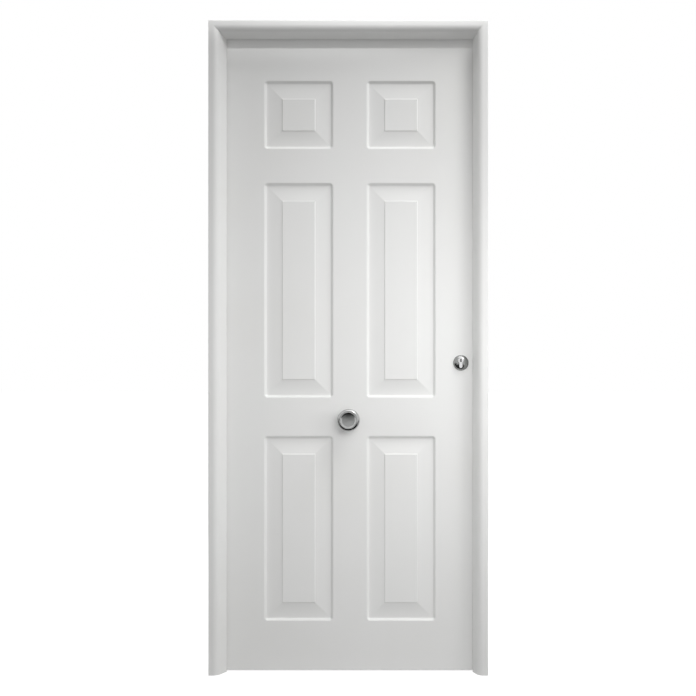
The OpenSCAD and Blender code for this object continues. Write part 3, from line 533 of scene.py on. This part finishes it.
def folded_member(name, lower, upper, holes):
    """The section between two end places.

    Each hole is (axis, value, loop): it is cut in the flat that lies at that value of the section."""
    bm = bmesh.new()
    line = frame_line()
    inner = beside(line, FRAME_SHEET)
    ends = []
    for points in (line, inner):
        ends.append((new_verts(bm, [lower(p) for p in points]), new_verts(bm, [upper(p) for p in points])))
    for i in range(len(line) - 1):
        along = line[i + 1] - line[i]
        normal = Vector((-along.y, along.x)).normalized()
        loops = []
        for axis, value, points in holes:
            near, far = sorted((line[i][1 - axis], line[i + 1][1 - axis]))
            on_plane = abs(line[i][axis] - value) < 1e-6 and abs(line[i + 1][axis] - value) < 1e-6
            if on_plane and all(near < q < far for q, z in points):
                loops.append([(Vector((value, q) if axis == 0 else (q, value)), z) for q, z in points])
        walls = []
        for (low, high), shift in zip(ends, (0.0, FRAME_SHEET)):
            rims = []
            for loop in loops:
                rims.append(new_verts(bm, [lower(p + normal * shift, z) for p, z in loop]))
            corners = [low[i], low[i + 1], high[i + 1], high[i]]
            if rims:
                fill(bm, corners, rims)
            else:
                bm.faces.new(corners)
            walls.append(rims)
        for a, b in zip(*walls):
            bridge(bm, a, b)
    for a, b in zip(ends[0], ends[1]):
        for i in range(len(a) - 1):
            bm.faces.new((a[i], a[i + 1], b[i + 1], b[i]))
    for k in (0, -1):
        bm.faces.new((ends[0][0][k], ends[0][1][k], ends[1][1][k], ends[1][0][k]))
    return finish_mesh(bm, name, 30.0)


def jamb(name, side, holes):
    def low(p, z=0.0):
        return at(side * (FRAME_X - p.x), p.y, z)

    def high(p):
        return at(side * (FRAME_X - p.x), p.y, FRAME_H - head_reach(p.y) - SEAM)

    lips = [(0, 0.0, circle(FRAME_D - LIP / 2, z, FIXING_R)) for z in FIXING_ZS]
    return folded_member(name, low, high, lips + holes)


hinge_jamb = jamb("jamb_hinge_side", -1, [
    (1, FRAME_D, screw_hole(FRAME_X + FRAME_SCREW_X, z)) for z in FRAME_SCREW_ZS
])
lock_jamb = jamb("jamb_lock_side", 1, [
    (0, REBATE, rectangle(MID_Y - WINDOW_HALF, MID_Y + WINDOW_HALF, *window))
    for window in (BOLT_WINDOW, LATCH_WINDOW)
])
header = folded_member(
    "head",
    lambda p, x=-FRAME_X: at(x, p.y, FRAME_H - p.x),
    lambda p: at(FRAME_X, p.y, FRAME_H - p.x),
    [],
)
seat(hinge_jamb, "frame", "white_paint", PAINT, "hinge_jamb")
seat(lock_jamb, "frame", "white_paint", PAINT, "lock_jamb")
seat(header, "frame", "white_paint", PAINT, "header")


# Leaf: two pressed skins

def ring(bm, x0, x1, z0, z1, r, y, count=8):
    """A rectangle with round corners, at the depth y."""
    points = []
    corners = ((x1 - r, z1 - r), (x0 + r, z1 - r), (x0 + r, z0 + r), (x1 - r, z0 + r))
    for quarter, (cx, cz) in enumerate(corners):
        for k in range(count + 1):
            a = math.radians(90 * quarter + 90 * k / count)
            points.append(at(cx + r * math.cos(a), y, cz + r * math.sin(a)))
    return new_verts(bm, points)


def panel_line():
    """Section of a panel: how far in from the recess's edge, and the height over the leaf's face."""
    cove_start = SHOULDER + GROOVE
    field = cove_start + COVE + FIELD_STEP
    line = [(-2.0, 0.0)]
    line += [(SHOULDER * k / 10, -GROOVE_D / 2 * (1.0 - math.cos(math.pi * k / 10))) for k in range(11)]
    line += [(cove_start + COVE * k / 12, COVE_RISE * (k / 12) ** COVE_POWER - GROOVE_D) for k in range(13)]
    line += [(field, 0.0), (field + 3.0, 0.0)]
    return rounded(line, {len(line) - 3: 1.0, len(line) - 2: 1.3}, 12.0)


def pressed_face(bm, line, y, out, edge, openings):
    """One side of a skin: the flat face with its openings, and the panels pressed into it."""
    rims = []
    for side in (-1, 1):
        x0, x1 = sorted((side * PANEL_X[0], side * PANEL_X[1]))
        for z0, z1 in PANEL_ROWS:
            last = None
            for u, h in line:
                r = max(PANEL_CORNER_R - u, FIELD_CORNER_R)
                now = ring(bm, x0 + u, x1 - u, z0 + u, z1 - u, r, y + out * h)
                if last:
                    bridge(bm, last, now)
                else:
                    rims.append(now)
                last = now
            fill(bm, last)
    flat = y + out * line[0][1]
    cuts = [new_verts(bm, [at(px, flat, pz) for px, pz in loop]) for loop in openings]
    fill(bm, edge, rims + cuts)
    return cuts


def edge_rings(bm, line, least):
    """Loops round the leaf, for a line of (distance in from its edge, depth)."""
    return [
        ring(bm, u - LEAF_X, LEAF_X - u, LEAF_Z0 + u, LEAF_Z1 - u, max(2.4 - u, least), y, 4)
        for u, y in line
    ]


def edge_wall(bm, a, b, x):
    """A wall of the leaf's edge, open at the lock's faceplate."""
    last = len(a) - 1
    bridge(bm, a, b, skip=(last,))
    notch = new_verts(bm, [at(x, y, z) for y, z in rectangle(*FACEPLATE_Y, *FACEPLATE_Z)])
    fill(bm, [a[last], a[0], b[0], b[last]], [notch])
    return notch


def skin_openings(inside):
    loops = [circle(0.0, PULL_Z, STUD_HOLE_R), euro_outline(0.5)]
    loops += [screw_hole(LOCK_X + s * ROSE_BOLT_X, ROSE_Z) for s in (-1, 1)]
    if inside:
        loops.append(circle(LOCK_X, TURN_Z, TURN_HOLE_R))
        loops += [screw_hole(LEAF_SCREW_X, z) for z in LEAF_SCREW_ZS]
    return loops


def pressed_sheet(bm, y, out, outside, inside, openings):
    """Both sides of a skin inside its edges, joined round the openings."""
    line = panel_line()
    cuts = [
        pressed_face(bm, line, y, out, outside[0], openings),
        pressed_face(bm, beside(line, -SKIN), y, out, inside[0], openings),
    ]
    for a, b in zip(*cuts):
        bridge(bm, a, b)


def outer_skin():
    bm = bmesh.new()
    end = LEAF_Y1 - SKIN - SKIN_LAP
    back = LEAF_Y0 + SKIN
    outside = edge_rings(bm, rounded([(6.0, LEAF_Y0), (0.0, LEAF_Y0), (0.0, end)], {1: 1.8}), 0.6)
    inside = edge_rings(bm, rounded([(6.0, back), (SKIN, back), (SKIN, end)], {1: 0.8}), 0.4)
    notches = []
    for loops, x in ((outside, LEAF_X), (inside, LEAF_X - SKIN)):
        for a, b in zip(loops[:-2], loops[1:-1]):
            bridge(bm, a, b)
        notches.append(edge_wall(bm, loops[-2], loops[-1], x))
    bridge(bm, outside[-1], inside[-1])
    bridge(bm, *notches)
    pressed_sheet(bm, LEAF_Y0, -1, outside, inside, skin_openings(False))
    return finish_mesh(bm, "leaf_outer_skin", 42.0)


def inner_skin():
    bm = bmesh.new()
    back = LEAF_Y1 - SKIN
    end = back - INNER_FLANGE
    outside = edge_rings(bm, rounded([
        (6.0, LEAF_Y1), (0.0, LEAF_Y1), (0.0, back), (SKIN, back), (SKIN, end),
    ], {1: 0.8}), 0.4)
    inside = edge_rings(bm, [(6.0, back), (2 * SKIN, back), (2 * SKIN, end)], 0.3)
    for loops in (outside, inside):
        for a, b in zip(loops[:-1], loops[1:]):
            bridge(bm, a, b)
    bridge(bm, outside[-1], inside[-1])
    pressed_sheet(bm, LEAF_Y1, 1, outside, inside, skin_openings(True))
    return finish_mesh(bm, "leaf_inner_skin", 42.0)


seat(outer_skin(), "leaf", "white_paint", PAINT, "outer_skin")
seat(inner_skin(), "leaf", "white_paint", PAINT, "inner_skin")


# Turned pieces: sections of (radius, distance from the leaf) spun round an axis along Y

def turned(name, body, node, centre, line, sharp=35.0, material=TURNED):
    """centre is (x, y, z), and the line's second numbers count from there, away from the leaf."""
    bm = bmesh.new()
    x, y, z = centre
    out = -1.0 if y < MID_Y else 1.0
    count = 96
    loops = []
    for r, h in line:
        if r < 1e-6:
            loops.append([bm.verts.new(Vector((0.0, out * h, 0.0)) * MM)])
        else:
            loops.append(new_verts(bm, [Vector((a, out * h, b)) * MM for a, b in circle(0.0, 0.0, r, count)]))
    pairs = list(zip(loops[:-1], loops[1:]))
    if len(loops[0]) > 1:
        pairs.append((loops[-1], loops[0]))
    for a, b in pairs:
        if len(a) == len(b):
            bridge(bm, a, b)
        else:
            tip, loop = (a[0], b) if len(a) == 1 else (b[0], a)
            for k in range(count):
                bm.faces.new((tip, loop[k], loop[(k + 1) % count]))
    piece = finish_mesh(bm, name, sharp)
    piece.location = at(x, y, z)
    return seat(piece, body, "chrome", material, node)


def dish(r, depth, base):
    """Points of a hollow of radius r from its edge to the axis, at the height base."""
    sphere = (r * r + depth * depth) / (2.0 * depth)
    count = 10
    points = []
    for k in range(count + 1):
        s = r * (1.0 - k / count)
        points.append((s, base - depth + sphere - math.sqrt(sphere * sphere - s * s)))
    return points


def pull_knob_line():
    """A neck and a drum with a fine groove round the hollow of its face."""
    head, face, r = 26.0, 52.0, 35.5
    groove = face - 0.8
    back = rounded([
        (5.05, 0.0), (16.0, 0.0), (13.0, 4.5), (13.0, head), (r, head), (r, face), (28.5, face),
        (26.9, face), (26.9, groove), (25.3, groove), (25.3, face), (24.5, face),
    ], {1: 0.6, 2: 4.0, 3: 3.0, 4: 9.0, 5: 9.0, 7: 0.4, 8: 0.35, 9: 0.35, 10: 0.35}, 9.0)
    return [(0.0, 34.7), (5.05, 34.7)] + back + dish(24.5, 4.0, face)[1:]


def pull_rose_line():
    return rounded([
        (5.15, 0.0), (29.0, 0.0), (29.0, 2.0), (27.0, 4.0), (17.0, 6.0), (5.15, 6.0),
    ], {1: 0.3, 2: 0.9, 3: 1.6, 4: 2.0}, 10.0)


def pull_cap_line():
    cap = rounded([(5.05, 0.0), (17.0, 0.0), (17.0, 11.0), (8.0, 11.0), (0.0, 11.0)], {1: 0.3, 2: 3.0}, 9.0)
    return [(0.0, 7.0), (5.05, 7.0)] + cap


def small_knob_line():
    neck, face, r = 24.0, 48.0, 26.0
    back = rounded([
        (5.7, 0.3), (11.0, 0.3), (11.0, neck), (r, neck), (r, face), (17.4, face), (16.0, face),
    ], {1: 0.4, 2: 3.0, 3: 8.0, 4: 8.0}, 9.0)
    return [(0.0, 32.0), (5.7, 32.0)] + back + dish(16.0, 2.5, face)[1:]


def rose_line(r, bore, chamfer):
    height = 8.0
    return rounded([
        (bore, 0.0), (r, 0.0), (r, height - chamfer), (r - chamfer, height), (bore, height),
    ], {1: 0.3, 2: 1.5, 3: 1.2}, 10.0)


turned("knob_pull", "leaf", "pull_knob", (0.0, LEAF_Y0 - 6.0, PULL_Z), pull_knob_line(), 40.0, SPUN)
turned("knob_pull_rose", "leaf", "pull_rose", (0.0, LEAF_Y0, PULL_Z), pull_rose_line())
turned("knob_pull_cap", "leaf", "pull_cap", (0.0, LEAF_Y1, PULL_Z), pull_cap_line())
turned("knob_turn_rose", "leaf", "turn_rose", (LOCK_X, LEAF_Y1, TURN_Z), rose_line(26.0, 11.05, 2.0))
turned("knob_turn", "turn", "turn_knob", (LOCK_X, LEAF_Y1, TURN_Z), small_knob_line(), 40.0)


# Screws with cross recesses

def screw_into(bm, tip, axis, d, length, head_d, head_h, cross):
    """A countersunk screw: its head lies flush at tip and its point looks along axis.

    cross is the length of an arm of its recess, as a share of the head."""
    axis = axis.normalized()
    side = axis.orthogonal().normalized()
    other = axis.cross(side)

    def place(a, b, h):
        return tip + (side * a + other * b + axis * h) * MM

    def loop(r, h):
        return new_verts(bm, [place(a, b, h) for a, b in circle(0.0, 0.0, r)])

    def star(arm, half, h):
        corners = []
        for k in range(4):
            c, s = math.cos(k * math.pi / 2), math.sin(k * math.pi / 2)
            for a, b in ((arm, -half), (arm, half), (half, half)):
                corners.append(place(a * c - b * s, a * s + b * c, h))
        return new_verts(bm, corners)

    rim = loop(head_d / 2 - 0.25, 0.02)
    shank = [loop(d / 2, head_h), loop(d / 2, length - d / 2), loop(d / 12, length)]
    loops = [rim, loop(head_d / 2, 0.27), *shank]
    for a, b in zip(loops[:-1], loops[1:]):
        bridge(bm, a, b)
    bm.faces.new(loops[-1])
    top = star(head_d * cross, head_d * 0.075, 0.02)
    low = star(head_d * cross * 0.55, head_d * 0.05, head_h * 0.6)
    fill(bm, rim, [top])
    bridge(bm, top, low)
    fill(bm, low)


def screws(name, body, node, tips, axis, *sizes):
    """sizes are the shank's diameter and length, the head's diameter and height, and the recess's arm."""
    bm = bmesh.new()
    for tip in tips:
        screw_into(bm, tip, Vector(axis), *sizes)
    return seat(finish_mesh(bm, name, 30.0), body, "steel", STEEL, node)


screws("screws_hinge_frame", "frame", "frame_hinge_screws",
       [at(FRAME_SCREW_X, HINGE_FACE, z) for z in FRAME_SCREW_ZS], (0, -1, 0), 5.0, 11.5, 9.0, 3.0, 0.33)
screws("screws_hinge_leaf", "leaf", "leaf_hinge_screws",
       [at(LEAF_SCREW_X, HINGE_FACE, z) for z in LEAF_SCREW_ZS], (0, -1, 0), 5.0, 36.0, 9.0, 3.0, 0.33)
screws("screws_faceplate", "leaf", "faceplate_screws",
       [at(LEAF_X, MID_Y, z) for z in FACE_SCREW_ZS], (-1, 0, 0), 4.0, 26.0, 7.5, 2.0, 0.33)
screws("screws_strike", "frame", "strike_screws",
       [at(STRIKE_X, MID_Y, z) for z in FACE_SCREW_ZS], (1, 0, 0), 4.0, 14.0, 7.5, 2.0, 0.33)
screws("screw_cylinder", "leaf", "cylinder_screw",
       [at(LEAF_X, MID_Y, CYL_SCREW_Z)], (-1, 0, 0), 5.0, 57.0, 10.0, 2.5, 0.3)


# Dressed copies: the CAD shape with its edges eased

def dressed(name, node, body, slot, material, width, centre=None):
    """centre moves the piece's own origin there, for a material that turns round it."""
    edge_angle = 35.0
    bm = bmesh.new()
    bm.from_mesh(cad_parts[node].data)
    if centre:
        bmesh.ops.translate(bm, verts=bm.verts, vec=-centre)
    bmesh.ops.remove_doubles(bm, verts=bm.verts, dist=2e-6)
    bmesh.ops.dissolve_limit(bm, angle_limit=math.radians(0.8), verts=bm.verts, edges=bm.edges)
    piece = finish_mesh(bm, name, edge_angle)
    if width:
        bevel = piece.modifiers.new("ease", "BEVEL")
        bevel.width = width * MM
        bevel.segments = 2
        bevel.limit_method = "ANGLE"
        bevel.angle_limit = math.radians(edge_angle)
    if centre:
        piece.location = centre
    return seat(piece, body, slot, material, node)


for i in (1, 2, 3):
    dressed(f"hinge_{i}_frame_half", f"hinge_frame_half_{i}", "frame", "chrome", SATIN, 0.6)
    dressed(f"hinge_{i}_leaf_half", f"hinge_leaf_half_{i}", "leaf", "chrome", SATIN, 0.6)
    dressed(f"hinge_{i}_pin", f"hinge_pin_{i}", "frame", "chrome", SATIN, 0.0)
dressed("escutcheon", "outer_escutcheon", "leaf", "chrome", TURNED, 0.4, centre=at(LOCK_X, LEAF_Y0, ROSE_Z))
dressed("rose_inside", "inner_rose", "leaf", "chrome", SATIN, 0.4)
dressed("cylinder", "cylinder_body", "leaf", "chrome", CHROME, 0.3)
plug_front = min(vert.co.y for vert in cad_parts["key_plug"].data.vertices)
dressed("cylinder_plug", "key_plug", "key", "chrome", plug_chrome(plug_front, at(LOCK_X, 0.0, 0.0).x), 0.2)
dressed("thumb_lever", "thumb_turn", "key", "chrome", CHROME, 0.8)
dressed("faceplate", "lock_faceplate", "leaf", "chrome", SATIN, 0.4)
dressed("strike", "strike_plate", "frame", "steel", STEEL, 0.3)
dressed("bolts_round", "deadbolts", "bolts", "chrome", CHROME, 0.3)
dressed("latch", "latch_bolt", "latch", "chrome", CHROME, 0.5)


# The remaining CAD nodes keep their shape and get the finish of their material

KEPT = {
    "frame_gasket": RUBBER, "bolt_box": STEEL, "hinge_washers": STEEL, "hinge_backers": STEEL,
    "core": FOAM, "hinge_stile": WOOD_Z, "lock_stile": WOOD_Z, "top_rail": WOOD_X, "bottom_rail": WOOD_X,
    "lock_case": STEEL, "lock_cover": STEEL, "escutcheon_bolts": STEEL, "pull_stud": STEEL,
    "bolt_carriage": STEEL, "spindle": STEEL, "follower": STEEL, "cam": STEEL,
}
for node, material in KEPT.items():
    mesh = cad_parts[node].data
    mesh.materials.clear()
    mesh.materials.append(material)


# Studio: a pale floor, a white world and soft lamps

def backdrop_rays(tree):
    """1 for the rays that see the backdrop itself: camera, glossy and transmission rays."""
    path = tree.nodes.new("ShaderNodeLightPath")
    bright = calc(tree, "MAXIMUM", path.outputs["Is Camera Ray"], path.outputs["Is Glossy Ray"])
    return calc(tree, "MAXIMUM", bright, path.outputs["Is Transmission Ray"])


def plain_surface(tree, level):
    node = tree.nodes.new("ShaderNodeBsdfDiffuse")
    node.inputs["Color"].default_value = (level, level, level, 1.0)
    return node.outputs["BSDF"]


def studio_floor(level, glow):
    """A pale floor that keeps the shadow; glow lifts it towards white for the rays that see it."""
    bm = bmesh.new()
    bmesh.ops.create_grid(bm, x_segments=1, y_segments=1, size=40.0)
    floor = finish_mesh(bm, "studio_floor", smooth=False)
    floor.location = (0.0, 0.0, -0.0005)
    material, tree, out = bare_material("pale_floor")
    lift = tree.nodes.new("ShaderNodeEmission")
    tree.links.new(calc(tree, "MULTIPLY", backdrop_rays(tree), glow), lift.inputs["Strength"])
    both = tree.nodes.new("ShaderNodeAddShader")
    tree.links.new(plain_surface(tree, level), both.inputs[0])
    tree.links.new(lift.outputs[0], both.inputs[1])
    tree.links.new(both.outputs[0], out.inputs["Surface"])
    floor.data.materials.append(material)


def white_world(ambient):
    """White where it is seen, and ambient as a light."""
    world = bpy.data.worlds.new("studio_world")
    world.use_nodes = True
    tree = world.node_tree
    tree.nodes.clear()
    out = tree.nodes.new("ShaderNodeOutputWorld")
    light = tree.nodes.new("ShaderNodeBackground")
    light.inputs["Color"].default_value = (1.0, 1.0, 1.0, 1.0)
    level = tree.nodes.new("ShaderNodeMapRange")
    level.inputs["To Min"].default_value = ambient
    level.inputs["To Max"].default_value = 1.0
    tree.links.new(backdrop_rays(tree), level.inputs["Value"])
    tree.links.new(level.outputs["Result"], light.inputs["Strength"])
    tree.links.new(light.outputs[0], out.inputs["Surface"])
    bpy.context.scene.world = world


def aimed(name, data, place, target):
    lamp = bpy.data.objects.new(name, data)
    lamp.location = place
    lamp.rotation_euler = (Vector(target) - Vector(place)).to_track_quat("-Z", "Y").to_euler()
    bpy.context.scene.collection.objects.link(lamp)
    return lamp


def soft_spot(name, place, target, cone, radius, power, wide=1.0):
    """A lamp behind a diffuser, fading from the middle of its cone to its rim.

    wide stretches the cone sideways."""
    data = bpy.data.lights.new(name, "SPOT")
    data.spot_size = math.radians(cone)
    data.spot_blend = 1.0
    data.shadow_soft_size = radius
    data.energy = power
    lamp = aimed(name, data, place, target)
    lamp.scale = (wide, 1.0, 1.0)
    return lamp


def box_lamp(name, place, target, size, power):
    data = bpy.data.lights.new(name, "AREA")
    data.shape = "RECTANGLE"
    data.size, data.size_y = size
    data.energy = power
    return aimed(name, data, place, target)


def floor_card(x, near, far):
    z = -0.0003
    return [(-x, near, z), (x, near, z), (x, far, z), (-x, far, z)]


def wall_card(x, near, far, top):
    return [(x, near, 0.0), (x, far, 0.0), (x, far, top), (x, near, top)]


def studio_cards(*cards):
    """Dark cards that only reflections see, as a photographer stands them round bright metal."""
    bm = bmesh.new()
    for corners in cards:
        bm.faces.new(new_verts(bm, corners))
    piece = finish_mesh(bm, "studio_cards", smooth=False)
    material, tree, out = bare_material("dark_card")
    tree.links.new(plain_surface(tree, 0.03), out.inputs["Surface"])
    piece.data.materials.append(material)
    piece.visible_camera = False
    piece.visible_diffuse = False
    piece.visible_transmission = False
    piece.visible_shadow = False


studio_floor(0.5, 0.84)
white_world(0.377)
soft_spot("key", (1.3, -1.0, 3.1), (0.15, 0.0, 1.4), 70.0, 0.45, 92.0)
for fill_lamp in (
    soft_spot("front", (0.5, -1.6, 1.2), (0.12, 0.0, 0.7), 100.0, 0.5, 41.5),
    soft_spot("side", (1.45, -0.95, 1.15), (0.36, 0.0, 0.9), 85.0, 0.4, 25.0, 0.5),
    soft_spot("left", (-1.9, -0.6, 1.1), (0.435, -0.03, 1.0), 62.0, 0.1, 17.0, 0.12),
):
    fill_lamp.visible_glossy = False
box_lamp("overhead", (0.2, -0.6, 4.2), (0.1, 0.0, 1.0), (2.6, 1.0), 17.5)
box_lamp("back", (-0.6, 2.6, 2.4), (0.0, 0.0, 1.0), (1.6, 1.6), 45.0)
soft_spot("head", (-0.12, -1.2957, 3.1285), (-0.12, -0.07, 2.1), 5.0, 0.02, 36.0, 12.0)
studio_cards(
    floor_card(1.6, -5.0, -0.12),
    wall_card(-1.3, -1.3, -0.12, 0.93),
    wall_card(1.7, -1.3, -0.12, 0.7),
)

camera_data = bpy.data.cameras.new("camera")
camera_data.sensor_width = 36.0
camera_data.lens = 71.57
camera_data.shift_x = -0.181
camera_data.shift_y = 0.0191
camera = bpy.data.objects.new("camera", camera_data)
camera.location = (0.400, -4.4765, 1.000)
camera.rotation_euler = (math.radians(90.0), 0.0, 0.0)
bpy.context.scene.collection.objects.link(camera)
bpy.context.scene.camera = camera
bpy.context.scene.view_settings.view_transform = "Standard"
